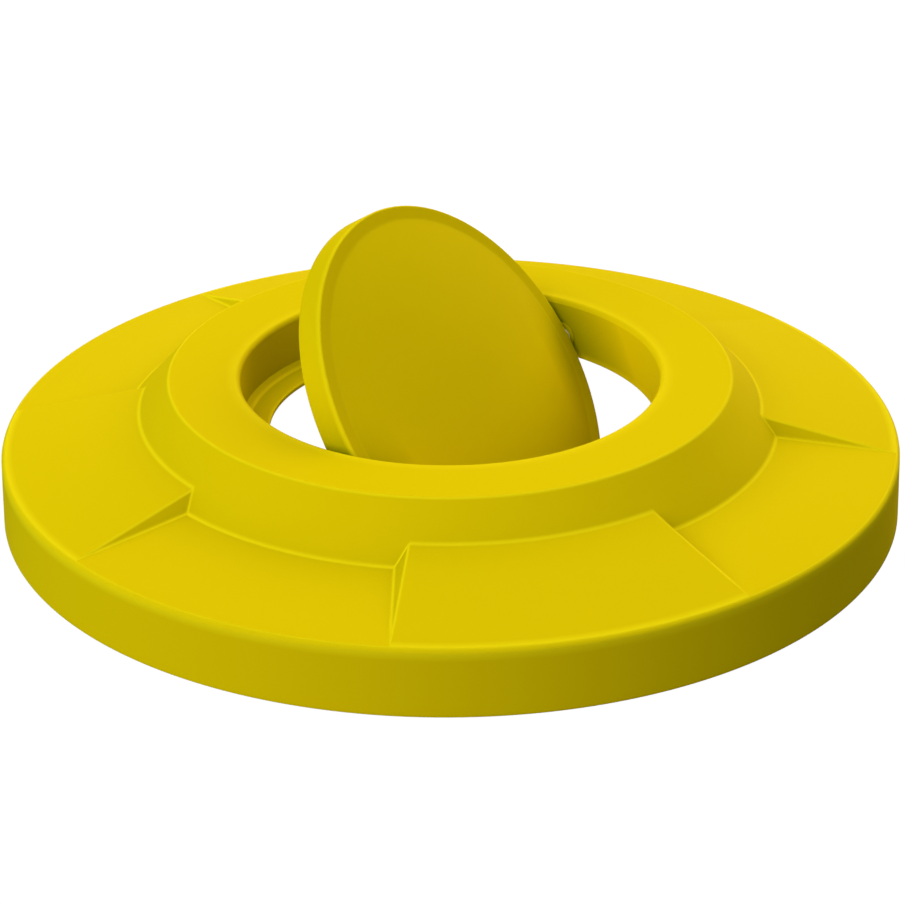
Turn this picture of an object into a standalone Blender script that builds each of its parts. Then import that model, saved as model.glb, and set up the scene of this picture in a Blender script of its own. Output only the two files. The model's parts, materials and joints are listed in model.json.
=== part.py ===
"""Swing-disc lid for a round steel drum.

A moulded lid slips over the rim of a 55 gallon drum. Its roof is folded into eight sectors, four high and
four low, round a raised hub. A domed disc closes the round opening in the hub. It turns on two bolts whose
line lies a little in front of the middle, so the disc either rests on the half ring under its rear half or
stands open against the square ends of that half ring. It is modelled standing open.

Run with: blender --background --python part.py
Units are metres. +Z is up, -Y is the front, where the open disc faces, and the bolts lie along X.
The origin is on the lid's axis, level with the bottom of its skirt.
"""

from math import cos, pi, radians, sin, sqrt, tan

import bmesh
import bpy

# Fits
GAP = 0.0003  # between two pieces that touch
HOLE_GAP = 0.00025  # round a bolt in a plain hole
RUNNING_GAP = 0.00015  # round the bolt inside a bush

# Drum that the lid is made for
DRUM_RIM_R = 0.2985
DRUM_RIM_WALL = 0.0120
DRUM_CLEARANCE = 0.0035

# Lid
WALL = 0.0030
SKIRT_LAND = 0.0040  # straight foot of the skirt
SKIRT_TOP = 0.0436  # where the skirt turns into the roof
SKIRT_DRAFT = 0.0006
EAVE_ROUND = 0.0037
EAVE_TURN = radians(79)
LOW_SLOPE = radians(7.7)
HIGH_SLOPE = radians(14.1)
STEP_SLOPE = radians(49)
HUB_SLOPE = radians(48)
HUB_R = 0.1901
HUB_TOP = 0.0929
HUB_ROUND = 0.0034
MOUTH_R = 0.1418
MOUTH_ROUND = 0.0035
MOUTH_BOTTOM = 0.0519
SEAT_HEIGHT = 0.0415  # underside of the ring that sits on the drum

# Half ring that stops the disc
SHELF_TOP = 0.0552
SHELF_REACH = 0.0188  # inwards from the mouth's wall
SHELF_FALL = radians(8)
SHELF_WALL = 0.0030
SHELF_CHAMFER = 0.0045

# Disc
DISC_CLEARANCE = 0.0053  # from the mouth's wall to the disc's rim
DISC_HEIGHT = 0.0195
DISC_WALL = 0.0035
DISC_DRAFT = 0.0006
DISC_ROUND = 0.0015
BAND_WIDTH = 0.0100
DOME_HEIGHT = 0.0160

# Pivot
OPEN_ANGLE = radians(55)
PIVOT_FORWARD = 0.0114  # in front of the lid's axis
PIVOT_DROP = 0.0090  # under the disc's flat band
BOLT_R = 0.0030
BOLT_TIP = 0.0028  # past the nut
HEX_R = 0.00577
HEAD_HEIGHT = 0.0040
NUT_HEIGHT = 0.0050
COLLAR_HEIGHT = 0.0010
COLLAR_R = 0.0042
WASHER_R = 0.0062
WASHER_THICK = 0.0016
BUSH_WALL = 0.0015
FLANGE_R = 0.0075
FLANGE_THICK = 0.0018
DISC_BOSS_R = 0.0080
DISC_BOSS_LENGTH = 0.0184
LID_BOSS_R = 0.0100
LID_BOSS_INSIDE = 0.0028  # how far it stands out of the mouth's wall
LID_BOSS_OUTSIDE = 0.0052

# Sectors and facets
QUARTERS = 4
SECTOR = radians(45)
SECTOR_FACETS = 10
ROUND_FACETS = 3
DISC_FACETS = 64
DOME_FACETS = 6
SMALL_FACETS = 24
TINY = 1e-6

# What follows from them
SKIRT_R = DRUM_RIM_R + DRUM_CLEARANCE + WALL
SEAT_R = SKIRT_R - WALL
SEAT_WIDTH = DRUM_CLEARANCE + DRUM_RIM_WALL
DISC_R = MOUTH_R - DISC_CLEARANCE
DISC_FACE_R = DISC_R - DISC_DRAFT
DISC_BAND = SHELF_TOP + GAP + DISC_HEIGHT  # height of the closed disc's flat band
PIVOT = (0.0, -PIVOT_FORWARD, DISC_BAND - PIVOT_DROP)
LID_BOSS_FACE = MOUTH_R - LID_BOSS_INSIDE
LID_BOSS_BACK = MOUTH_R + WALL + LID_BOSS_OUTSIDE
DISC_BOSS_FACE = LID_BOSS_FACE - FLANGE_THICK - 2 * GAP
DISC_BOSS_BACK = DISC_BOSS_FACE - DISC_BOSS_LENGTH
BUSH_BORE_R = BOLT_R + RUNNING_GAP
BUSH_R = BUSH_BORE_R + BUSH_WALL

MOULDED_YELLOW = ((0.80, 0.60, 0.005), 0.38, 0.0)
ZINC_STEEL = ((0.62, 0.63, 0.64), 0.35, 1.0)
WHITE_NYLON = ((0.82, 0.81, 0.76), 0.45, 0.0)


def clear_scene():
    for obj in list(bpy.data.objects):
        bpy.data.objects.remove(obj)


def new_collection(name):
    collection = bpy.data.collections.new(name)
    bpy.context.scene.collection.children.link(collection)
    return collection


def new_material(name, look):
    colour, roughness, metallic = look
    material = bpy.data.materials.new(name)
    material.use_nodes = True
    shader = material.node_tree.nodes["Principled BSDF"]
    shader.inputs["Base Color"].default_value = (*colour, 1.0)
    shader.inputs["Roughness"].default_value = roughness
    shader.inputs["Metallic"].default_value = metallic
    return material


def add_object(name, mesh, home, look=None):
    """Puts a mesh in a collection. With no look it is a cutter, and stays out of a render."""
    obj = bpy.data.objects.new(name, mesh)
    home.objects.link(obj)
    if look:
        mesh.materials.append(new_material(name, look))
    else:
        obj.hide_render = True
        obj.display_type = "WIRE"
    return obj


def mesh_from(bm, name, smooth=True):
    mesh = bpy.data.meshes.new(name)
    bm.to_mesh(mesh)
    bm.free()
    if smooth:
        mesh.shade_smooth()
        mesh.set_sharp_from_angle(angle=radians(30))
    return mesh


def turned(name, profile, facets, home, look=None, closed=True):
    """Turns a profile of (radius, height) points round Z. It runs down its outer side, top to bottom."""
    bm = bmesh.new()
    points = [bm.verts.new((radius, 0.0, height)) for radius, height in profile]
    for start, end in zip(points, points[1:]):
        bm.edges.new((start, end))
    if closed:
        bm.edges.new((points[-1], points[0]))
    obj = add_object(name, mesh_from(bm, name, smooth=False), home, look)
    screw = obj.modifiers.new("turn", "SCREW")
    screw.steps = facets
    screw.render_steps = facets
    screw.use_merge_vertices = True
    screw.merge_threshold = TINY
    screw.use_smooth_shade = True
    return obj


def cylinder(name, radius, bottom, top, home, look=None, sides=SMALL_FACETS):
    bm = bmesh.new()
    bmesh.ops.create_cone(
        bm, cap_ends=True, segments=sides, radius1=radius, radius2=radius, depth=top - bottom
    )
    bmesh.ops.translate(bm, verts=bm.verts, vec=(0.0, 0.0, (top + bottom) / 2))
    return add_object(name, mesh_from(bm, name), home, look)


def boolean(obj, tool, operation):
    modifier = obj.modifiers.new(tool.name, "BOOLEAN")
    modifier.operation = operation
    modifier.object = tool
    modifier.solver = "EXACT"


def arc(centre, radius, start, end, facets):
    """Points on a round, from one angle to the other, in the plane of radius and height."""
    turn = (end - start) / facets
    return [
        (centre[0] + radius * cos(start + turn * i), centre[1] + radius * sin(start + turn * i))
        for i in range(facets + 1)
    ]


def eave_arc():
    """The round that every sector shares, from the skirt to the low edge of the roof."""
    centre = (SKIRT_R - SKIRT_DRAFT - EAVE_ROUND, SKIRT_TOP)
    return arc(centre, EAVE_ROUND, 0.0, EAVE_TURN, ROUND_FACETS)


def roof_foot(slope):
    """Where a roof sector that rises inwards from the eave meets the sloping side of the hub."""
    eave_r, eave_z = eave_arc()[-1]
    hub_line = HUB_TOP + HUB_R * tan(HUB_SLOPE)
    roof_line = eave_z + eave_r * tan(slope)
    radius = (hub_line - roof_line) / (tan(HUB_SLOPE) - tan(slope))
    return radius, eave_z + (eave_r - radius) * tan(slope)


def hub_arc():
    """The round between the hub's sloping side and its flat top."""
    setback = HUB_ROUND * tan(HUB_SLOPE / 2)
    centre = (HUB_R - setback, HUB_TOP - HUB_ROUND)
    return arc(centre, HUB_ROUND, pi / 2 - HUB_SLOPE, pi / 2, ROUND_FACETS)


def mouth_arc():
    """The round between the hub's flat top and the wall of the mouth."""
    centre = (MOUTH_R + MOUTH_ROUND, HUB_TOP - MOUTH_ROUND)
    return arc(centre, MOUTH_ROUND, pi / 2, pi, ROUND_FACETS)


def lid_section(slope):
    """The lid's outer side, from the foot of the skirt over the roof and hub to the bottom of the mouth."""
    skirt = [(SKIRT_R, 0.0), (SKIRT_R, SKIRT_LAND)]
    wall_foot = [(MOUTH_R, MOUTH_BOTTOM)]
    return skirt + eave_arc() + [roof_foot(slope)] + hub_arc() + mouth_arc() + wall_foot


def lid_columns():
    """Sections round the lid. A low sector is narrower inside the roof, so that each step slopes."""
    eave_rings = 2 + ROUND_FACETS + 1
    low_r, low_z = roof_foot(LOW_SLOPE)
    high_r, high_z = roof_foot(HIGH_SLOPE)
    step_turn = (high_z - low_z) / tan(STEP_SLOPE) / low_r
    columns = []
    for quarter in range(QUARTERS):
        for slope, centre, inset in (
            (LOW_SLOPE, 2 * SECTOR * quarter, step_turn),
            (HIGH_SLOPE, 2 * SECTOR * quarter + SECTOR, 0.0),
        ):
            section = lid_section(slope)
            for i in range(SECTOR_FACETS + 1):
                side = 2 * i / SECTOR_FACETS - 1
                column = []
                for ring, (radius, height) in enumerate(section):
                    half = SECTOR / 2 - (inset if ring >= eave_rings else 0.0)
                    angle = centre + side * half
                    column.append((radius * cos(angle), radius * sin(angle), height))
                columns.append(column)
    return columns


def lid_surface():
    """The lid's outer surface, lofted between its unlike sections. Each step narrows to nothing at the eave."""
    bm = bmesh.new()
    columns = [[bm.verts.new(point) for point in column] for column in lid_columns()]
    for here, there in zip(columns, columns[1:] + columns[:1]):
        for ring in range(len(here) - 1):
            bm.faces.new((here[ring], there[ring], there[ring + 1], here[ring + 1]))
    bmesh.ops.remove_doubles(bm, verts=bm.verts, dist=TINY)
    return mesh_from(bm, "lid_shell")


def seat_ring(cutters):
    """The ring under the roof that sits on the drum's rim. It ends inside the skirt and the roof."""
    inner_r = SEAT_R - SEAT_WIDTH
    outer_r = SEAT_R + WALL / 4
    eave_r, eave_z = eave_arc()[-1]
    inner_top = eave_z + (eave_r - inner_r) * tan(LOW_SLOPE) - WALL / 2
    profile = [
        (outer_r, eave_z - WALL),
        (outer_r, SEAT_HEIGHT),
        (inner_r, SEAT_HEIGHT),
        (inner_r, inner_top),
    ]
    return turned("seat_ring", profile, QUARTERS * 24, cutters)


def shelf_end():
    """How far the half ring's ends lie behind the pivot: the open disc's lower edge stands against them."""
    drop = PIVOT[2] - SHELF_TOP
    under = DISC_HEIGHT - PIVOT_DROP
    along = (drop - under * cos(OPEN_ANGLE)) / sin(OPEN_ANGLE)
    return under * sin(OPEN_ANGLE) - along * cos(OPEN_ANGLE)


def shelf(cutters):
    """The ledge round the rear half of the mouth, cut square behind the pivot."""
    inner_r = MOUTH_R - SHELF_REACH
    chamfer_r = MOUTH_R - SHELF_CHAMFER
    inner_top = SHELF_TOP - (chamfer_r - inner_r) * tan(SHELF_FALL)
    root_r = MOUTH_R + WALL / 2
    chamfer_top = SHELF_TOP + (root_r - chamfer_r) * tan(radians(38))
    profile = [
        (root_r, chamfer_top),
        (root_r, SHELF_TOP - SHELF_WALL),
        (chamfer_r, SHELF_TOP - SHELF_WALL),
        (inner_r, inner_top - SHELF_WALL),
        (inner_r, inner_top),
        (chamfer_r, SHELF_TOP),
    ]
    ring = turned("shelf", profile, QUARTERS * 22, cutters)
    bm = bmesh.new()
    bmesh.ops.create_cube(bm, size=1.0)
    bmesh.ops.scale(bm, verts=bm.verts, vec=(3 * MOUTH_R, 2 * MOUTH_R, 2 * HUB_TOP))
    front = add_object("shelf_front_cutter", mesh_from(bm, "shelf_front_cutter"), cutters)
    front.location = (0.0, PIVOT[1] + shelf_end() + GAP - MOUTH_R, SHELF_TOP)
    boolean(ring, front, "DIFFERENCE")
    return ring


def on_pivot(obj, side):
    """Lays a piece that is built along Z on the pivot's line, pointing outwards on one side."""
    obj.location = PIVOT
    obj.rotation_euler = (0.0, side * pi / 2, 0.0)


def make_lid(parts, cutters):
    lid = add_object("lid_shell", lid_surface(), parts, MOULDED_YELLOW)
    shell = lid.modifiers.new("wall", "SOLIDIFY")
    shell.thickness = WALL
    shell.offset = -1.0
    shell.use_even_offset = True
    boolean(lid, seat_ring(cutters), "UNION")
    boolean(lid, shelf(cutters), "UNION")
    for side, name in ((-1, "left"), (1, "right")):
        boss = cylinder(f"lid_boss_{name}", LID_BOSS_R, LID_BOSS_FACE, LID_BOSS_BACK, cutters)
        hole = cylinder(
            f"lid_hole_{name}", BOLT_R + HOLE_GAP, DISC_BOSS_BACK, LID_BOSS_BACK + WALL, cutters
        )
        on_pivot(boss, side)
        on_pivot(hole, side)
        boolean(lid, boss, "UNION")
        boolean(lid, hole, "DIFFERENCE")
    return lid


def dome(drop):
    """A shallow dome from its middle out to the flat band, lowered by drop for its underside."""
    edge_r = DISC_FACE_R - BAND_WIDTH
    radius = (edge_r**2 + DOME_HEIGHT**2) / (2 * DOME_HEIGHT)
    points = []
    for i in range(DOME_FACETS + 1):
        across = edge_r * i / DOME_FACETS
        points.append((across, sqrt(radius**2 - across**2) - radius + DOME_HEIGHT - drop))
    return points


def disc_profile():
    """The disc's section: over the dome, out to the rim and down, then back inside to the middle."""
    round_centre = (DISC_FACE_R - DISC_ROUND, -DISC_ROUND)
    outer = dome(0.0) + arc(round_centre, DISC_ROUND, pi / 2, 0.0, ROUND_FACETS)
    outer.append((DISC_R, -DISC_HEIGHT))
    inner = [(DISC_R - DISC_WALL, -DISC_HEIGHT), (DISC_FACE_R - DISC_WALL, -DISC_WALL)]
    inner += reversed(dome(DISC_WALL))
    return outer + inner


def make_hinge(parts):
    """An empty on the pivot's line carries what turns with the disc."""
    hinge = bpy.data.objects.new("disc_hinge", None)
    parts.objects.link(hinge)
    hinge.location = PIVOT
    hinge.rotation_euler = (OPEN_ANGLE, 0.0, 0.0)
    return hinge


def make_disc(parts, cutters, hinge):
    disc = turned("swing_disc", disc_profile(), DISC_FACETS, parts, MOULDED_YELLOW, closed=False)
    disc.parent = hinge
    disc.location = (0.0, PIVOT_FORWARD, PIVOT_DROP)
    for side, name in ((-1, "left"), (1, "right")):
        boss = cylinder(f"disc_boss_{name}", DISC_BOSS_R, DISC_BOSS_BACK, DISC_BOSS_FACE, cutters)
        hole = cylinder(f"disc_hole_{name}", BUSH_R + GAP, DISC_BOSS_BACK - WALL, MOUTH_R, cutters)
        for tool, operation in ((boss, "UNION"), (hole, "DIFFERENCE")):
            tool.parent = hinge
            tool.rotation_euler = (0.0, side * pi / 2, 0.0)
            boolean(disc, tool, operation)
    return disc


def make_bush(name, side, parts, hinge):
    """A flanged bush in the disc's boss. Its flange keeps the disc off the wall of the mouth."""
    flange_back = DISC_BOSS_FACE + GAP
    flange_face = flange_back + FLANGE_THICK
    profile = [
        (FLANGE_R, flange_face),
        (FLANGE_R, flange_back),
        (BUSH_R, flange_back),
        (BUSH_R, DISC_BOSS_BACK),
        (BUSH_BORE_R, DISC_BOSS_BACK),
        (BUSH_BORE_R, flange_face),
    ]
    bush = turned(name, profile, SMALL_FACETS, parts, WHITE_NYLON)
    bush.parent = hinge
    bush.rotation_euler = (0.0, side * pi / 2, 0.0)


def make_washer(name, side, bottom, parts):
    bore_r = BOLT_R + GAP
    profile = [
        (WASHER_R, bottom + WASHER_THICK),
        (WASHER_R, bottom),
        (bore_r, bottom),
        (bore_r, bottom + WASHER_THICK),
    ]
    on_pivot(turned(name, profile, SMALL_FACETS, parts, ZINC_STEEL), side)


def make_bolt(name, side, head_face, tip, parts, cutters):
    """A hexagon bolt. Its head is inside the disc and its tip is outside the wall of the mouth."""
    bolt = cylinder(name, HEX_R, head_face - HEAD_HEIGHT, head_face, parts, ZINC_STEEL, sides=6)
    shank = cylinder(f"{name}_shank", BOLT_R, head_face - HEAD_HEIGHT / 2, tip, cutters)
    on_pivot(bolt, side)
    on_pivot(shank, side)
    boolean(bolt, shank, "UNION")


def make_nut(name, side, bottom, parts, cutters):
    """A lock nut: a hexagon with the round collar that holds its nylon ring."""
    hexagon_top = bottom + NUT_HEIGHT
    nut = cylinder(name, HEX_R, bottom, hexagon_top, parts, ZINC_STEEL, sides=6)
    collar_top = hexagon_top + COLLAR_HEIGHT
    collar = cylinder(f"{name}_collar", COLLAR_R, bottom + WALL, collar_top, cutters)
    hole = cylinder(f"{name}_hole", BOLT_R + GAP, bottom - WALL, collar_top + WALL, cutters)
    for piece in (nut, collar, hole):
        on_pivot(piece, side)
    boolean(nut, collar, "UNION")
    boolean(nut, hole, "DIFFERENCE")


def make_pivot(side, name, parts, cutters, hinge):
    """From inside the disc outwards: bolt head, washer, bush in the disc's boss, lid boss, washer, nut."""
    inner_washer = DISC_BOSS_BACK - GAP - WASHER_THICK
    outer_washer = LID_BOSS_BACK + GAP
    nut_bottom = outer_washer + WASHER_THICK + GAP
    tip = nut_bottom + NUT_HEIGHT + COLLAR_HEIGHT + BOLT_TIP
    make_bush(f"pivot_bush_{name}", side, parts, hinge)
    make_bolt(f"pivot_bolt_{name}", side, inner_washer - GAP, tip, parts, cutters)
    make_washer(f"inner_washer_{name}", side, inner_washer, parts)
    make_washer(f"outer_washer_{name}", side, outer_washer, parts)
    make_nut(f"lock_nut_{name}", side, nut_bottom, parts, cutters)


def main():
    clear_scene()
    parts = new_collection("swing_disc_drum_lid")
    cutters = new_collection("cutters")
    hinge = make_hinge(parts)
    make_lid(parts, cutters)
    make_disc(parts, cutters, hinge)
    for side, name in ((-1, "left"), (1, "right")):
        make_pivot(side, name, parts, cutters, hinge)


main()
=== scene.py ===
"""Looks of the swing-disc drum lid: a yellow moulding, its domed disc, and the bolts that it turns on."""

import json
from math import pi

import bmesh
import bpy
import numpy as np
from mathutils import Matrix, Vector


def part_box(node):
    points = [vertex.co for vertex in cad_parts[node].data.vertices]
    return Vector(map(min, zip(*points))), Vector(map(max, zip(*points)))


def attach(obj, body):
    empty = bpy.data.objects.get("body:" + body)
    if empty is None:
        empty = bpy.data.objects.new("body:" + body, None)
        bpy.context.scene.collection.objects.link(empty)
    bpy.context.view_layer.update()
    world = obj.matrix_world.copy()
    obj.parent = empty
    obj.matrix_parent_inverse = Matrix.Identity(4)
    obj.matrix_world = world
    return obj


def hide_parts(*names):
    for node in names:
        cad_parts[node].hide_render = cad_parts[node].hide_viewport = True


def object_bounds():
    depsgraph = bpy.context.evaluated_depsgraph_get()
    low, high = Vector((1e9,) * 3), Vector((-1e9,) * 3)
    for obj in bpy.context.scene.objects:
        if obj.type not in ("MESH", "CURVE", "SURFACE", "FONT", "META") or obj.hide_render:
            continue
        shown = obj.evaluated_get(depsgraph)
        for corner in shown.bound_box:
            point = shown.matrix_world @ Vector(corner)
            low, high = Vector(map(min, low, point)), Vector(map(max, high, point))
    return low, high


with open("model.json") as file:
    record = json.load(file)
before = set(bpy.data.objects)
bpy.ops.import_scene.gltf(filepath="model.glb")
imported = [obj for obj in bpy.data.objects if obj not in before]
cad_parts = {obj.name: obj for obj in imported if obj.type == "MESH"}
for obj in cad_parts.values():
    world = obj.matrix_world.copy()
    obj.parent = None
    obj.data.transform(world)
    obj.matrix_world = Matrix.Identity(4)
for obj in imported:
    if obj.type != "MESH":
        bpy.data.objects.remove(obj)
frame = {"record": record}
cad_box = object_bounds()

MM = 0.001
GAP = 0.3 * MM  # between pieces that touch
ROUND_COLUMNS = 96  # round the small pieces of the pivot

# Lid, from the frame where it can be read there
SKIRT_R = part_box("lid_shell")[1][0]
HUB_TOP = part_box("lid_shell")[1][2]
WALL = 3.0 * MM
FOOT_ROUND = 0.8 * MM
SKIRT_LAND = 4.0 * MM
SKIRT_TOP = 43.6 * MM
SKIRT_DRAFT = 0.6 * MM
EAVE_ROUND = 3.7 * MM
EAVE_TURN = np.radians(79)
LOW_SLOPE = np.tan(np.radians(7.7))
HIGH_SLOPE = np.tan(np.radians(14.1))
STEP_SLOPE = np.tan(np.radians(49))
HUB_SLOPE = np.tan(np.radians(48))
HUB_R = 190.1 * MM
MOUTH_R = 141.8 * MM
MOUTH_ROUND = 3.5 * MM
MOUTH_BOTTOM = 51.9 * MM
SEAT_HEIGHT = 41.5 * MM
SEAT_WIDTH = 15.5 * MM
SEAT_ROUND = 0.6 * MM
SECTOR = pi / 4
CREASE = 1.3 * MM  # how far two faces of the roof are blended where they meet
SHADE_REACH = 45 * MM  # how far away a surface still darkens the hollows of the mouldings

# Half ring under the disc
SHELF_TOP = 55.2 * MM
SHELF_REACH = 18.8 * MM
SHELF_FALL = np.tan(np.radians(8))
SHELF_WALL = 3.0 * MM
SHELF_CHAMFER = 4.5 * MM
SHELF_CHAMFER_SLOPE = np.tan(np.radians(38))
SHELF_ROUND = 0.7 * MM

# Disc
DISC_R = 136.5 * MM
DISC_DRAFT = 0.6 * MM
DISC_HEIGHT = 19.5 * MM
DISC_WALL = 3.5 * MM
DISC_ROUND = 1.5 * MM
BAND_WIDTH = 10.7 * MM
BAND_BLEND = 0.35 * MM
DOME_HEIGHT = 16.0 * MM
DISC_BOSS_R = 8.0 * MM
LID_BOSS_R = 10.0 * MM

# Pivot: its line comes from the joint, and the open angle from the joint's travel
SWING = frame["record"]["behaviour"]["joints"][0]
PIVOT = np.array(SWING["pos_m"])
OPEN_ANGLE = -np.radians(SWING["range_deg"][0])
DISC_CENTRE = np.array([0.0, 0.0, SHELF_TOP + GAP + DISC_HEIGHT])
BOLT_R = 3.0 * MM
THREAD_PITCH = 1.0 * MM
THREAD_DEPTH = 0.5 * MM
THREAD_LENGTH = 13.0 * MM
BOLT_HEAD = 4.0 * MM
HEX_FLAT = 5.0 * MM  # from the middle of a bolt's head or a nut to its flats
BUSH_WALL = 1.5 * MM
BUSH_FLANGE = 1.8 * MM
SIDES = (("left", -1), ("right", 1))


# --- grids and meshes ---


def straight(start, end, count):
    """Evenly spaced points from one (radius, height) to another, without the last."""
    share = np.arange(count)[:, None] / count
    return (1 - share) * np.array(start) + share * np.array(end)


def bend(centre, radius, start, end, count):
    """Points round a circle between two angles, without the last: centre + radius (cos, sin)."""
    angle = start + (end - start) * np.arange(count) / count
    return np.array(centre) + radius * np.stack([np.cos(angle), np.sin(angle)], -1)


def section(*runs):
    """Joins runs of (points, edge strength) into one outline, with how strongly each point is on an edge."""
    points = np.concatenate([points for points, _ in runs])
    edge = np.concatenate([strength + np.zeros(len(points)) for points, strength in runs])
    return points[:, 0], points[:, 1], edge


def twin_lines(count):
    """Edge strength across a round, which sets the painted highlight lines: 1 - 0.65 sin(pi share), strong at
    both ends and weaker between.
    """
    return 1 - 0.65 * np.sin(pi * np.arange(count) / count)


def skin(name, x, y, z, edge, ring=True, turn=True):
    """A closed mesh over a grid. Rows run along the section and columns round the axis.

    ring joins the last row to the first; otherwise both ends are poles. turn joins the last column to
    the first; otherwise the section closes both ends flat."""
    rows, columns = x.shape
    index = np.arange(rows * columns).reshape(rows, columns)
    lower, upper = (index, np.roll(index, -1, 0)) if ring else (index[:-1], index[1:])
    if turn:
        corners = (lower, np.roll(lower, -1, 1), np.roll(upper, -1, 1), upper)
    else:
        corners = (lower[:, :-1], lower[:, 1:], upper[:, 1:], upper[:, :-1])
    faces = np.stack(corners, -1).reshape(-1, 4).tolist()
    if not turn:
        faces += [index[:, 0].tolist(), index[::-1, -1].tolist()]
    mesh = bpy.data.meshes.new(name)
    mesh.from_pydata(np.stack([x, y, z], -1).reshape(-1, 3).tolist(), [], faces)
    # The edge attribute says where the yellow's painted highlight lines go, and how strongly.
    strength = mesh.attributes.new("edge", "FLOAT", "POINT")
    strength.data.foreach_set("value", np.broadcast_to(edge, x.shape).astype(np.float32).ravel())
    if not ring:
        bm = bmesh.new()
        bm.from_mesh(mesh)
        bmesh.ops.remove_doubles(bm, verts=bm.verts, dist=1e-7)
        bm.to_mesh(mesh)
        bm.free()
    mesh.shade_smooth()
    return mesh


def piece(name, mesh, body, look, stands_for=()):
    """Puts a mesh in the scene as a finished piece that moves with a body."""
    obj = bpy.data.objects.new(name, mesh)
    bpy.context.scene.collection.objects.link(obj)
    mesh.materials.append(look)
    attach(obj, body)
    if stands_for:
        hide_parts(*stands_for)
    return obj


# --- the lid ---


def lower_of(a, b, soft):
    """The lower of two heights, blended with a parabola where they are within soft of each other.

    Also gives the share of a, and the strength of the rounded edge, 4 s (1 - s), which is 1 on it."""
    soft = np.maximum(soft, 1e-9)
    share = np.clip(0.5 + 0.5 * (b - a) / soft, 0, 1)
    edge = 4 * share * (1 - share)
    return b + (a - b) * share - soft * edge / 4, share, edge


def eave():
    """Where the round over the skirt ends and every sector of the roof begins: (radius, height)."""
    centre_r = SKIRT_R - SKIRT_DRAFT - EAVE_ROUND
    return (
        centre_r + EAVE_ROUND * np.cos(EAVE_TURN),
        SKIRT_TOP + EAVE_ROUND * np.sin(EAVE_TURN),
    )


def roof_height(radius, angle):
    """Height of the roof and hub over a point, and how strongly the point is on an edge.

    Low and high sectors rise inwards from the eave at their own slopes. Beside each high sector a step
    falls away sideways, so a sector is the higher of the low slope and the lower of the high slope and
    the step. The hub is the lower of its flat top and its sloping side, and it is blended with the
    sectors where they meet."""
    eave_r, eave_z = eave()
    inwards = eave_r - radius
    low = eave_z + inwards * LOW_SLOPE
    high = eave_z + inwards * HIGH_SLOPE
    from_low_middle = np.abs((angle + SECTOR) % (2 * SECTOR) - SECTOR)
    beside = radius * np.sin(SECTOR / 2 - from_low_middle)
    step = high - beside * STEP_SLOPE
    soft = CREASE * np.clip((high - low) / (2 * MM), 0, 1)
    raised, _, raised_edge = lower_of(high, step, soft)
    negative, low_share, foot_edge = lower_of(-low, -raised, soft)
    sector = -negative
    sector_edge = np.maximum(raised_edge * (1 - low_share), foot_edge)
    side = HUB_TOP - (radius - HUB_R) * HUB_SLOPE
    hub, _, hub_edge = lower_of(HUB_TOP + 0 * side, side, CREASE)
    negative, hub_share, meeting_edge = lower_of(-hub, -sector, CREASE)
    edge = np.maximum(hub_edge * hub_share + sector_edge * (1 - hub_share), meeting_edge)
    return -negative, edge


def roof_underside(radius, angle):
    """The roof's height less the wall, measured square to the slope: wall times sqrt(1 + slope squared)."""
    reach = 0.5 * MM
    slope = (roof_height(radius + reach, angle)[0] - roof_height(radius - reach, angle)[0]) / (2 * reach)
    return roof_height(radius, angle)[0] - WALL * np.sqrt(1 + slope**2)


def lid_angles():
    """Columns round the lid: close together across the eight steps and wider apart between them."""
    turn = 180 / pi * SECTOR
    before, beyond, fine = 0.7, 3.3, 0.1
    across_step = np.arange(-before, beyond, fine)
    to_middle = np.linspace(beyond, turn - before, 36, endpoint=False)
    half_low = np.concatenate([across_step, to_middle[to_middle < turn / 2]])
    high = np.linspace(turn + before, 2 * turn - before, 34, endpoint=False)[1:]
    quarter = np.radians(np.concatenate([half_low, turn - half_low[::-1], high]) - turn / 2)
    return np.concatenate([quarter + k * 2 * SECTOR for k in range(4)])


def rings(stops, counts):
    """Radii from stop to stop, with its own count of rings in each stretch, without the last stop."""
    return np.concatenate(
        [np.linspace(a, b, n, endpoint=False) for a, b, n in zip(stops, stops[1:], counts)]
    )


def roof_radii():
    """Rings from the eave to the mouth, close together where faces of the roof meet."""
    stops = (eave()[0], 226 * MM, 205 * MM, 194 * MM, 186 * MM, MOUTH_R + MOUTH_ROUND)
    return rings(stops, (16, 30, 6, 14, 6))


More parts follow.
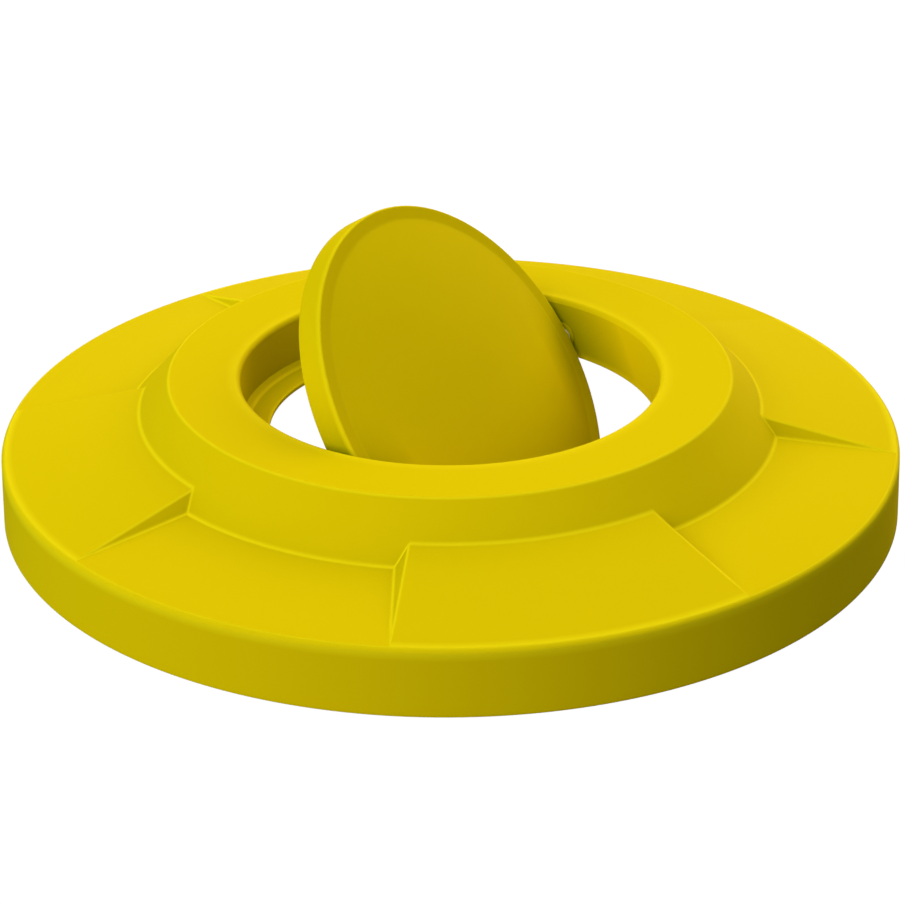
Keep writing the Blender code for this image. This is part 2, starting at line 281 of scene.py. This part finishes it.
def lid_mesh():
    """The lid's section carried round its axis, with the roof's height worked out at every point."""
    angle = lid_angles()
    top_r = SKIRT_R - SKIRT_DRAFT
    outside = section(
        (bend((SKIRT_R - FOOT_ROUND, FOOT_ROUND), FOOT_ROUND, -pi / 2, 0, 4), 0.5),
        (straight((SKIRT_R, FOOT_ROUND), (SKIRT_R, SKIRT_LAND), 2), 0.0),
        (straight((SKIRT_R, SKIRT_LAND), (top_r, SKIRT_TOP), 8), 0.0),
        (bend((top_r - EAVE_ROUND, SKIRT_TOP), EAVE_ROUND, 0.0, EAVE_TURN, 12), twin_lines(12)),
    )
    roof_r = roof_radii()
    over_r, over_a = np.meshgrid(roof_r, angle, indexing="ij")
    over_z, over_edge = roof_height(over_r, over_a)
    wall_r = MOUTH_R + WALL
    lip = (MOUTH_R + MOUTH_ROUND, HUB_TOP - MOUTH_ROUND)
    mouth = section(
        (bend(lip, MOUTH_ROUND, pi / 2, pi, 12), 0.5 * twin_lines(12)),
        (straight((MOUTH_R, HUB_TOP - MOUTH_ROUND), (MOUTH_R, MOUTH_BOTTOM + FOOT_ROUND), 8), 0.0),
        (bend((MOUTH_R + FOOT_ROUND, MOUTH_BOTTOM + FOOT_ROUND), FOOT_ROUND, pi, 1.5 * pi, 4), 0.5),
        (bend((wall_r - FOOT_ROUND, MOUTH_BOTTOM + FOOT_ROUND), FOOT_ROUND, 1.5 * pi, 2 * pi, 4), 0.5),
        (straight((wall_r, MOUTH_BOTTOM + FOOT_ROUND), (wall_r, HUB_TOP - WALL), 6), 0.0),
    )
    seat_r = SKIRT_R - WALL - SEAT_WIDTH
    stops = (wall_r, 184 * MM, 192 * MM, 203 * MM, 224 * MM, seat_r)
    under_r = np.append(rings(stops, (4, 8, 4, 18, 8)), seat_r)
    under_r, under_a = np.meshgrid(under_r, angle, indexing="ij")
    under_z = roof_underside(under_r, under_a)
    inner_r = SKIRT_R - WALL
    inside = section(
        (straight((seat_r, SEAT_HEIGHT + 2 * SEAT_ROUND), (seat_r, SEAT_HEIGHT + SEAT_ROUND), 1), 0.0),
        (bend((seat_r + SEAT_ROUND, SEAT_HEIGHT + SEAT_ROUND), SEAT_ROUND, pi, 1.5 * pi, 3), 0.5),
        (straight((seat_r + SEAT_ROUND, SEAT_HEIGHT), (inner_r, SEAT_HEIGHT), 4), 0.0),
        (straight((inner_r, SEAT_HEIGHT), (inner_r, FOOT_ROUND), 8), 0.0),
        (bend((inner_r + FOOT_ROUND, FOOT_ROUND), FOOT_ROUND, pi, 1.5 * pi, 4), 0.5),
    )

    def round_axis(part):
        return [np.repeat(values[:, None], len(angle), 1) for values in part]

    radius, height, edge = (
        np.concatenate(parts)
        for parts in zip(
            round_axis(outside),
            (over_r, over_z, over_edge),
            round_axis(mouth),
            (under_r, under_z, 0 * under_z),
            round_axis(inside),
        )
    )
    return skin("lid_moulding", radius * np.cos(angle), radius * np.sin(angle), height, edge)


def shelf_mesh():
    """The half ring: a ledge section carried round the rear of the mouth, both ends cut at one depth.

    On each radius the sweep starts at the angle whose sine is the end's depth over that radius."""
    inner_r = MOUTH_R - SHELF_REACH
    chamfer_r = MOUTH_R - SHELF_CHAMFER
    root_r = MOUTH_R + WALL / 2
    inner_top = SHELF_TOP - (chamfer_r - inner_r) * SHELF_FALL
    root_top = SHELF_TOP + (root_r - chamfer_r) * SHELF_CHAMFER_SLOPE
    end = shelf_end_depth()
    lip = (inner_r + SHELF_ROUND, inner_top - SHELF_ROUND)
    lip_foot = (inner_r + SHELF_ROUND, inner_top - SHELF_WALL + SHELF_ROUND)
    crease_outer = (chamfer_r + 0.8 * MM, SHELF_TOP + 0.6 * MM)
    crease_inner = (chamfer_r - 1 * MM, SHELF_TOP - 0.1 * MM)
    radius, height, edge = section(
        (straight((root_r, SHELF_TOP - SHELF_WALL), (root_r, root_top), 4), 0.0),
        (straight((root_r, root_top), crease_outer, 5), 0.15),
        (straight(crease_outer, crease_inner, 4), 0.6),
        (straight(crease_inner, (lip[0], inner_top), 8), 0.0),
        (bend(lip, SHELF_ROUND, pi / 2, pi, 4), 0.5),
        (bend(lip_foot, SHELF_ROUND, pi, 1.5 * pi, 4), 0.5),
        (straight((lip_foot[0], lip_foot[1] - SHELF_ROUND), (root_r, SHELF_TOP - SHELF_WALL), 6), 0.0),
    )
    share = np.linspace(0, 1, 241)
    start = np.arcsin(end / radius)[:, None]
    angle = start + (pi - 2 * start) * share
    radius, height, edge = (values[:, None] for values in (radius, height, edge))
    flat = np.ones_like(angle)
    return skin(
        "disc_stop_half_ring",
        radius * np.cos(angle),
        radius * np.sin(angle),
        height * flat,
        edge * flat,
        turn=False,
    )


def shelf_end_depth():
    """How far along Y the half ring ends: just behind the lower edge of the open disc."""
    drop = PIVOT[2] - SHELF_TOP
    under = PIVOT[2] - DISC_CENTRE[2] + DISC_HEIGHT
    along = (drop - under * np.cos(OPEN_ANGLE)) / np.sin(OPEN_ANGLE)
    return PIVOT[1] + under * np.sin(OPEN_ANGLE) - along * np.cos(OPEN_ANGLE) + GAP


# --- the disc ---


def dome_height(radius):
    """A ball's cap that ends at the flat band: sqrt(R^2 - r^2) less what puts its edge on the band."""
    edge_r = DISC_R - DISC_DRAFT - BAND_WIDTH
    ball = (edge_r**2 + DOME_HEIGHT**2) / (2 * DOME_HEIGHT)
    return np.sqrt(ball**2 - radius**2) - ball + DOME_HEIGHT


def face_height(radius):
    """The dome and the flat band round it, blended where they meet."""
    negative, _, edge = lower_of(-dome_height(radius), 0 * radius, BAND_BLEND)
    return -negative, 0.15 * edge


def open_disc(x, y, z):
    """Moves a point of the closed disc to where it stands open, turned about the pivot's line."""
    y, z = y + DISC_CENTRE[1] - PIVOT[1], z + DISC_CENTRE[2] - PIVOT[2]
    c, s = np.cos(OPEN_ANGLE), np.sin(OPEN_ANGLE)
    return x, PIVOT[1] + c * y - s * z, PIVOT[2] + s * y + c * z


def disc_mesh():
    """The disc's section carried round its own axis, from the middle of its underside to that of its top."""
    face_r = DISC_R - DISC_DRAFT
    inner_r = face_r - DISC_WALL
    edge_r = face_r - BAND_WIDTH
    foot = -DISC_HEIGHT
    foot_round = 0.8 * MM
    under_r = np.linspace(0, edge_r, 24)
    top_r = np.concatenate(
        [
            np.linspace(face_r - DISC_ROUND, edge_r + 3 * MM, 6),
            np.linspace(edge_r + 3 * MM, edge_r - 3 * MM, 16)[1:],
            np.linspace(edge_r - 3 * MM, 0, 40)[1:],
        ]
    )
    top_z, top_edge = face_height(top_r)
    under = np.stack([under_r, dome_height(under_r) - DISC_WALL], -1)
    radius, height, edge = section(
        (under, 0.0),
        (straight((edge_r + 1 * MM, -DISC_WALL), (inner_r - 1 * MM, -DISC_WALL), 3), 0.0),
        (bend((inner_r - 1 * MM, -DISC_WALL - 1 * MM), 1 * MM, pi / 2, 0, 4), 0.3),
        (straight((inner_r, -DISC_WALL - 1 * MM), (inner_r + DISC_DRAFT, foot + foot_round), 5), 0.0),
        (bend((inner_r + DISC_DRAFT + foot_round, foot + foot_round), foot_round, pi, 1.5 * pi, 4), 0.5),
        (bend((DISC_R - foot_round, foot + foot_round), foot_round, -pi / 2, 0, 4), 0.5),
        (straight((DISC_R, foot + foot_round), (face_r, -DISC_ROUND), 6), 0.0),
        (bend((face_r - DISC_ROUND, -DISC_ROUND), DISC_ROUND, 0, pi / 2, 8), 0.6),
    )
    radius = np.concatenate([radius, top_r])[:, None]
    height = np.concatenate([height, top_z])[:, None]
    edge = np.concatenate([edge, top_edge])[:, None]
    angle = np.linspace(0, 2 * pi, 288, endpoint=False)
    x, y, z = open_disc(radius * np.cos(angle), radius * np.sin(angle), height + 0 * angle)
    return skin("domed_disc", x, y, z, edge, ring=False)


# --- the pivot's pieces ---


def about_pivot(name, side, radius, along, edge, ring, columns=ROUND_COLUMNS):
    """Carries a section round the pivot's line. radius may vary with the turn; along is measured outwards."""
    angle = np.linspace(0, 2 * pi, columns, endpoint=False)
    radius = radius + 0 * angle
    x = side * (along + 0 * angle)
    y = PIVOT[1] + side * radius * np.cos(angle)
    z = PIVOT[2] + radius * np.sin(angle)
    return skin(name, x, y, z, edge, ring=ring)


def turned_section(points, soft=0.25 * MM):
    """An outline of (radius, along) corners with each sharp corner cut back by soft on both sides."""
    corners = np.array(points)
    before = np.roll(corners, 1, 0) - corners
    after = np.roll(corners, -1, 0) - corners
    near = [corners + soft * d / np.linalg.norm(d, axis=1)[:, None] for d in (before, after)]
    rounded = 0.25 * near[0] + 0.25 * near[1] + 0.5 * corners
    return np.stack([near[0], rounded, near[1]], 1).reshape(-1, 2)


def solid_section(points, soft=0.4 * MM):
    """A rounded outline from pole to pole, for a piece with no hole. Its end corners stay on the line."""
    return np.concatenate([points[:1], turned_section(points, soft)[3:-3], points[-1:]])


def reach(node):
    """(start, end, radius) of a round piece on the pivot's line, measured outwards, from the frame."""
    low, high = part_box(node)
    ends = sorted((abs(low[0]), abs(high[0])))
    return ends[0], ends[1], (high[2] - low[2]) / 2


def ring_mesh(name, side, start, end, outer, bore):
    """A plain ring with rounded corners."""
    points = turned_section([(outer, start), (outer, end), (bore, end), (bore, start)])
    return about_pivot(name, side, points[:, :1], points[:, 1:], np.zeros((len(points), 1)), True)


def bush_mesh(name, side, node):
    """A flanged bush: a sleeve with a wide flange at its outer end."""
    start, end, flange = reach(node)
    bore = BOLT_R + 0.15 * MM
    sleeve = bore + BUSH_WALL
    outline = [
        (sleeve, start),
        (sleeve, end - BUSH_FLANGE),
        (flange, end - BUSH_FLANGE),
        (flange, end),
        (bore, end),
        (bore, start),
    ]
    points = turned_section(outline, 0.2 * MM)
    return about_pivot(name, side, points[:, :1], points[:, 1:], np.zeros((len(points), 1)), True)


def hexagon(columns=ROUND_COLUMNS):
    """Distance from a hexagon's middle to its side: HEX_FLAT over the cosine to the nearest flat."""
    angle = np.linspace(0, 2 * pi, columns, endpoint=False)
    return HEX_FLAT / np.cos((angle + pi / 6) % (pi / 3) - pi / 6)


def bolt_mesh(name, side, node):
    """A hexagon head, chamfered by a cone, on a shank whose outer end is threaded by a helix.

    The head's radius is the lesser of the hexagon's and the cone's. The thread's is the shank's less a
    triangle wave of along / pitch less the turn."""
    start, tip, _ = reach(node)
    head_face = start + BOLT_HEAD
    angle = np.linspace(0, 2 * pi, ROUND_COLUMNS, endpoint=False)
    head = np.linspace(start, head_face, 14)[:, None]
    cone = HEX_FLAT * 0.97 + np.minimum((head - start) * 1.9, 3 * MM)
    head_r = np.minimum(hexagon(), cone)
    thread_from = tip - THREAD_LENGTH
    plain = np.linspace(head_face, thread_from, 8)[:, None]
    thread = np.linspace(thread_from, tip, 150)[:, None]
    wave = np.abs(((thread / THREAD_PITCH - angle / (2 * pi)) % 1) * 2 - 1)
    run_in = np.clip((thread - thread_from) / (1 * MM), 0, 1)
    tip_cone = np.clip((tip - thread) * 1.2, 0, THREAD_DEPTH) - THREAD_DEPTH
    thread_r = BOLT_R - 0.05 * MM - THREAD_DEPTH * wave * run_in
    thread_r = np.minimum(thread_r, BOLT_R - 0.05 * MM + tip_cone)
    flat = 0 * angle
    shank_r = BOLT_R + 0 * plain + flat
    radius = np.concatenate(
        [flat[None], head_r[:1] * 0.6, head_r, shank_r[:1], shank_r, thread_r, flat[None]]
    )
    along = np.concatenate([[[start]], [[start]], head, [[head_face]], plain, thread, [[tip]]])
    return about_pivot(name, side, radius, along, np.zeros_like(along), False)


def nut_mesh(name, side, node):
    """A hexagon chamfered at both ends, with a round collar on its outer face and a hole through it."""
    start, end, _ = reach(node)
    face = end - 1 * MM
    body = np.linspace(start, face, 16)[:, None]
    cone = HEX_FLAT * 0.97 + np.minimum(np.minimum(body - start, face - body) * 1.9, 3 * MM)
    hexed = np.minimum(hexagon(), cone)
    collar = 4.2 * MM
    bore = BOLT_R + 0.05 * MM
    soft, mouth = 0.3 * MM, 0.5 * MM
    inner = np.array([collar, collar, collar - soft, bore + soft, bore, bore, bore + mouth])
    radius = np.concatenate([hexed, inner[:, None] + np.zeros((1, ROUND_COLUMNS))])
    ends = [face, end - soft, end, end, end - soft, start + mouth, start]
    along = np.concatenate([body, np.array(ends)[:, None]])
    return about_pivot(name, side, radius, along, np.zeros_like(along), True)


def boss_mesh(name, side, start, end, outer):
    """A round boss of a moulding, closed at both ends."""
    points = solid_section([(0.0, start), (outer, start), (outer, end), (0.0, end)])
    return about_pivot(name, side, points[:, :1], points[:, 1:], np.zeros((len(points), 1)), False)


# --- materials ---


class Value:
    """A node's output socket. Arithmetic on it adds Math nodes to the same material."""

    def __init__(self, tree, socket):
        self.tree, self.socket = tree, socket

    def node(self, kind, settings=(), output=0, **sockets):
        """Adds a node, sets it up, then fills its sockets by name or number with values or links."""
        made = self.tree.nodes.new(kind)
        for key, value in dict(settings).items():
            if key == "stops":
                ramp = made.color_ramp
                while len(ramp.elements) < len(value):
                    ramp.elements.new(0.5)
                for element, (place, colour) in zip(ramp.elements, value):
                    element.position, element.color = place, colour
            else:
                setattr(made, key, value)
        for key, value in sockets.items():
            target = made.inputs[int(key[1:])] if key[0] == "_" else made.inputs[key.replace("_", " ")]
            if isinstance(value, Value):
                self.tree.links.new(value.socket, target)
            else:
                target.default_value = value
        return Value(self.tree, made.outputs[output])

    def math(self, operation, a, b=0.0):
        return self.node("ShaderNodeMath", {"operation": operation}, _0=a, _1=b)

    def __add__(self, other):
        return self.math("ADD", self, other)

    def __sub__(self, other):
        return self.math("SUBTRACT", self, other)

    def __rsub__(self, other):
        return self.math("SUBTRACT", other, self)

    def __mul__(self, other):
        return self.math("MULTIPLY", self, other)

    def power(self, other):
        return self.math("POWER", self, other)

    def limited(self):
        """The value kept between 0 and 1."""
        return self.node("ShaderNodeClamp", Value=self)

    def noise(self, scale, detail=2.0, roughness=0.5):
        """Soft noise on these coordinates, centred on a half."""
        return self.node("ShaderNodeTexNoise", Vector=self, Scale=scale, Detail=detail, Roughness=roughness)

    def cells(self, scale):
        """Distance to the nearest of a field of scattered points on these coordinates."""
        return self.node("ShaderNodeTexVoronoi", Vector=self, Scale=scale)

    def mixed(self, colour, other):
        """One colour turning into another as this value goes from 0 to 1."""
        return self.node(
            "ShaderNodeMix", {"data_type": "RGBA"}, output=2, Factor=self, _6=colour, _7=other
        )

    def bump(self, height, strength):
        """A surface normal raised by this value, in metres of height at full strength."""
        return self.node("ShaderNodeBump", Height=self, Distance=height, Strength=strength)


def new_look(name, **constants):
    """A material with its plain values set. Returns it, its shader node and its Object coordinates."""
    look = bpy.data.materials.new(name)
    look.use_nodes = True
    tree = look.node_tree
    shader = tree.nodes["Principled BSDF"]
    for key, value in constants.items():
        shader.inputs[key.replace("_", " ")].default_value = value
    place = Value(tree, tree.nodes.new("ShaderNodeTexCoord").outputs["Object"])
    return look, shader, place


def feed(shader, **values):
    """Links worked-out values to a shader's sockets by name."""
    for key, value in values.items():
        value.tree.links.new(value.socket, shader.inputs[key.replace("_", " ")])


def moulded_yellow():
    """Yellow polyethylene: fine moulded grain and faint flow mottling, with painted shade in its hollows and
    painted highlight lines along its edges.
    """
    look, shader, place = new_look(
        "moulded_yellow", Metallic=0.0, Specular_Tint=(1.0, 0.75, 0.01, 1.0), Specular_IOR_Level=0.003
    )
    edge = place.node("ShaderNodeAttribute", {"attribute_name": "edge"}, output=2)
    mottle = place.noise(9.0, 3.0)
    grain = place.noise(1400.0, 2.0)
    pits = place.cells(700.0)
    scuffs = place.noise(160.0, 6.0, 0.7)
    shade = place.node("ShaderNodeAmbientOcclusion", {"samples": 8}, output=1, Distance=SHADE_REACH)
    body = mottle.mixed((0.795, 0.597, 0.0003, 1.0), (0.815, 0.613, 0.0005, 1.0))
    speckled = ((grain - 0.5) * 0.5 + 0.5).limited().mixed(body, (0.83, 0.625, 0.0012, 1.0))
    # Painted shade: the yellow is darkened towards a dark green in hollows and between parts, by the ambient
    # occlusion node shade, up to SHADE_REACH away.
    shaded_in_hollows = shade.mixed((0.10, 0.17, 0.0, 1.0), speckled)
    # Painted highlight: a lighter yellow is painted in lines along the rounded edges, convex and concave
    # alike, from the edge attribute, made uneven by the scuff noise.
    painted_edge_highlight = (edge * (scuffs * 0.3 + 0.85)).limited()
    colour = painted_edge_highlight.mixed(shaded_in_hollows, (0.935, 0.755, 0.005, 1.0))
    relief = (grain * 0.6 + pits * 0.4).bump(0.00004, 0.25)
    feed(shader, Base_Color=colour, Roughness=mottle * 0.08 + scuffs * 0.06 + 0.42, Normal=relief)
    return look


def zinc_steel():
    """Bright zinc plate: fine streaks from rubbing, a faint warm and blue passivation, and dull spots, with
    painted shade in its hollows.
    """
    look, shader, place = new_look("zinc_steel", Metallic=1.0)
    streaks = place.node("ShaderNodeMapping", {}, Vector=place, Scale=(0.15, 1.0, 1.0)).noise(2600.0, 4.0)
    tone = place.noise(240.0, 3.0)
    spots = (place.noise(900.0, 5.0, 0.7) - 0.55) * 6.0
    plated = tone.mixed((0.60, 0.61, 0.63, 1.0), (0.68, 0.665, 0.62, 1.0))
    shade = place.node("ShaderNodeAmbientOcclusion", {"samples": 8}, output=1, Distance=30 * MM)
    unshaded_zinc = spots.limited().mixed(plated, (0.46, 0.45, 0.43, 1.0))
    # Painted shade: the zinc is darkened nearly to black in hollows and between parts, by the ambient
    # occlusion node shade, up to 30 mm away.
    colour = shade.power(2.0).mixed((0.04, 0.035, 0.02, 1.0), unshaded_zinc)
    feed(
        shader,
        Base_Color=colour,
        Roughness=streaks * 0.18 + tone * 0.1 + 0.18,
        Normal=streaks.bump(0.00002, 0.4),
    )
    return look


def white_nylon():
    """Natural nylon: milky, faintly uneven, with fine turning marks."""
    look, shader, place = new_look("white_nylon", Metallic=0.0, Specular_IOR_Level=0.45)
    cloud = place.noise(180.0, 4.0)
    marks = place.node("ShaderNodeMapping", {}, Vector=place, Scale=(1.0, 0.1, 0.1)).noise(3000.0, 2.0)
    colour = cloud.mixed((0.78, 0.77, 0.70, 1.0), (0.86, 0.85, 0.80, 1.0))
    feed(
        shader,
        Base_Color=colour,
        Roughness=cloud * 0.15 + marks * 0.1 + 0.32,
        Normal=marks.bump(0.00002, 0.3),
    )
    return look


# --- build ---


def build():
    yellow, zinc, nylon = moulded_yellow(), zinc_steel(), white_nylon()
    piece("lid_moulding", lid_mesh(), "lid", yellow, ["lid_shell"])
    piece("disc_stop_half_ring", shelf_mesh(), "lid", yellow)
    piece("domed_disc", disc_mesh(), "disc", yellow, ["swing_disc"])
    for name, side in SIDES:
        flange_end = reach(f"pivot_bush_{name}")[1]
        boss_start = flange_end + GAP
        boss_end = reach(f"outer_washer_{name}")[0] - GAP
        disc_boss_end = flange_end - BUSH_FLANGE - GAP
        disc_boss_start = reach(f"pivot_bush_{name}")[0]
        lid_boss = boss_mesh(f"lid_boss_{name}", side, boss_start, boss_end, LID_BOSS_R)
        disc_boss = boss_mesh(f"disc_boss_{name}", side, disc_boss_start, disc_boss_end, DISC_BOSS_R)
        piece(f"lid_boss_{name}", lid_boss, "lid", yellow)
        piece(f"disc_boss_{name}", disc_boss, "disc", yellow)
        for place in ("inner", "outer"):
            node = f"{place}_washer_{name}"
            start, end, outer = reach(node)
            mesh = ring_mesh(f"{place}_flat_washer_{name}", side, start, end, outer, BOLT_R + GAP)
            piece(mesh.name, mesh, "lid", zinc, [node])
        bolt = bolt_mesh(f"threaded_bolt_{name}", side, f"pivot_bolt_{name}")
        piece(bolt.name, bolt, "lid", zinc, [f"pivot_bolt_{name}"])
        nut = nut_mesh(f"nyloc_nut_{name}", side, f"lock_nut_{name}")
        piece(nut.name, nut, "lid", zinc, [f"lock_nut_{name}"])
        bush = bush_mesh(f"flanged_bush_{name}", side, f"pivot_bush_{name}")
        piece(bush.name, bush, "disc", nylon, [f"pivot_bush_{name}"])


# --- studio ---

VIEW_TURN = np.radians(-150.3)  # where the camera stands, from +X towards +Y
VIEW_RISE = np.radians(26.72)
VIEW_DISTANCE = 2.473
VIEW_LENS = 143.17
VIEW_ROLL = np.radians(-0.41)
AIM_UP = 28.2 * MM
AIM_RIGHT = 1.3 * MM

# Where each light stands, as (turn from +X, rise) in degrees, how bright it is, its tint, and what share
# of it is so wide that it shades what is hidden from it
LIGHTS = {
    "key": (167, 34, 2.17, (0.98, 1.00, 1.0), 1.0),
    "right": (11, 22, 2.70, (1.00, 0.84, 0.8), 0.55),
    "front_right": (-32, 46, 0.75, (0.92, 1.00, 1.0), 1.0),
    "fill": (95, 2, 0.32, (0.30, 1.00, 0.8), 0.75),
}
ROOM_LIGHT = 0.087
NARROW_ANGLE = 12
WIDE_ANGLE = 70
WIDE_GAIN = 1.03  # a wide light is weaker square on than a narrow one, so it is raised a little


def pale_floor():
    """A wide pale floor under the object. It lights itself evenly and lights nothing else."""
    bpy.ops.mesh.primitive_plane_add(size=60, location=(0, 0, cad_box[0][2] - 0.5 * MM))
    floor = bpy.context.object
    floor.name = "floor"
    look = bpy.data.materials.new("pale_floor")
    look.use_nodes = True
    shader = look.node_tree.nodes["Principled BSDF"]
    shader.inputs["Base Color"].default_value = (0.02, 0.02, 0.02, 1)
    shader.inputs["Roughness"].default_value = 1.0
    shader.inputs["Specular IOR Level"].default_value = 0.0
    shader.inputs["Emission Color"].default_value = (1, 1, 1, 1)
    shader.inputs["Emission Strength"].default_value = 1.0
    floor.data.materials.append(look)
    floor.visible_diffuse = False
    floor.visible_glossy = False


def add_sun(name, turn, rise, strength, tint, width, shadow, gloss):
    """A far light in a given direction. width is how wide it looks in the sky, in degrees."""
    lamp = bpy.data.lights.new(name, "SUN")
    lamp.energy = strength
    lamp.color = tint
    lamp.angle = np.radians(width)
    lamp.use_shadow = shadow
    turn, rise = np.radians(turn), np.radians(rise)
    place = Vector((np.cos(rise) * np.cos(turn), np.cos(rise) * np.sin(turn), np.sin(rise)))
    light = bpy.data.objects.new(name, lamp)
    light.matrix_world = place.to_track_quat("Z", "Y").to_matrix().to_4x4()
    light.visible_glossy = gloss
    bpy.context.scene.collection.objects.link(light)


def soft_light():
    """Four soft lights in an evenly lit room. Part of each is very wide, and shades hidden places."""
    for name, (turn, rise, strength, tint, share) in LIGHTS.items():
        add_sun(name, turn, rise, strength * (1 - share), tint, NARROW_ANGLE, False, False)
        shading = strength * share * WIDE_GAIN
        add_sun(f"{name}_wide", turn, rise, shading, tint, WIDE_ANGLE, True, name == "key")
    world = bpy.data.worlds.new("room")
    bpy.context.scene.world = world
    world.use_nodes = True
    background = world.node_tree.nodes["Background"]
    background.inputs["Color"].default_value = (1.0, 1.0, 1.0, 1.0)
    background.inputs["Strength"].default_value = ROOM_LIGHT


def camera():
    """The camera stands to the left of the front and looks down on the lid."""
    rise, turn = np.sin(VIEW_RISE), np.cos(VIEW_RISE)
    back = Vector((turn * np.cos(VIEW_TURN), turn * np.sin(VIEW_TURN), rise))
    right = Vector((-np.sin(VIEW_TURN), np.cos(VIEW_TURN), 0.0))
    up = back.cross(right)
    place = back * VIEW_DISTANCE
    aim = up * AIM_UP + right * AIM_RIGHT
    seen = (aim - place).normalized()
    side = seen.cross(Vector((0, 0, 1))).normalized()
    turned = Matrix((side, side.cross(seen), -seen)).transposed() @ Matrix.Rotation(VIEW_ROLL, 3, "Z")
    data = bpy.data.cameras.new("camera")
    data.lens = VIEW_LENS
    data.sensor_width = 36
    data.clip_end = 200
    view = bpy.data.objects.new("camera", data)
    view.matrix_world = Matrix.Translation(place) @ turned.to_4x4()
    bpy.context.scene.collection.objects.link(view)
    bpy.context.scene.camera = view
    bpy.context.scene.view_settings.view_transform = "Standard"


build()
pale_floor()
soft_light()
camera()
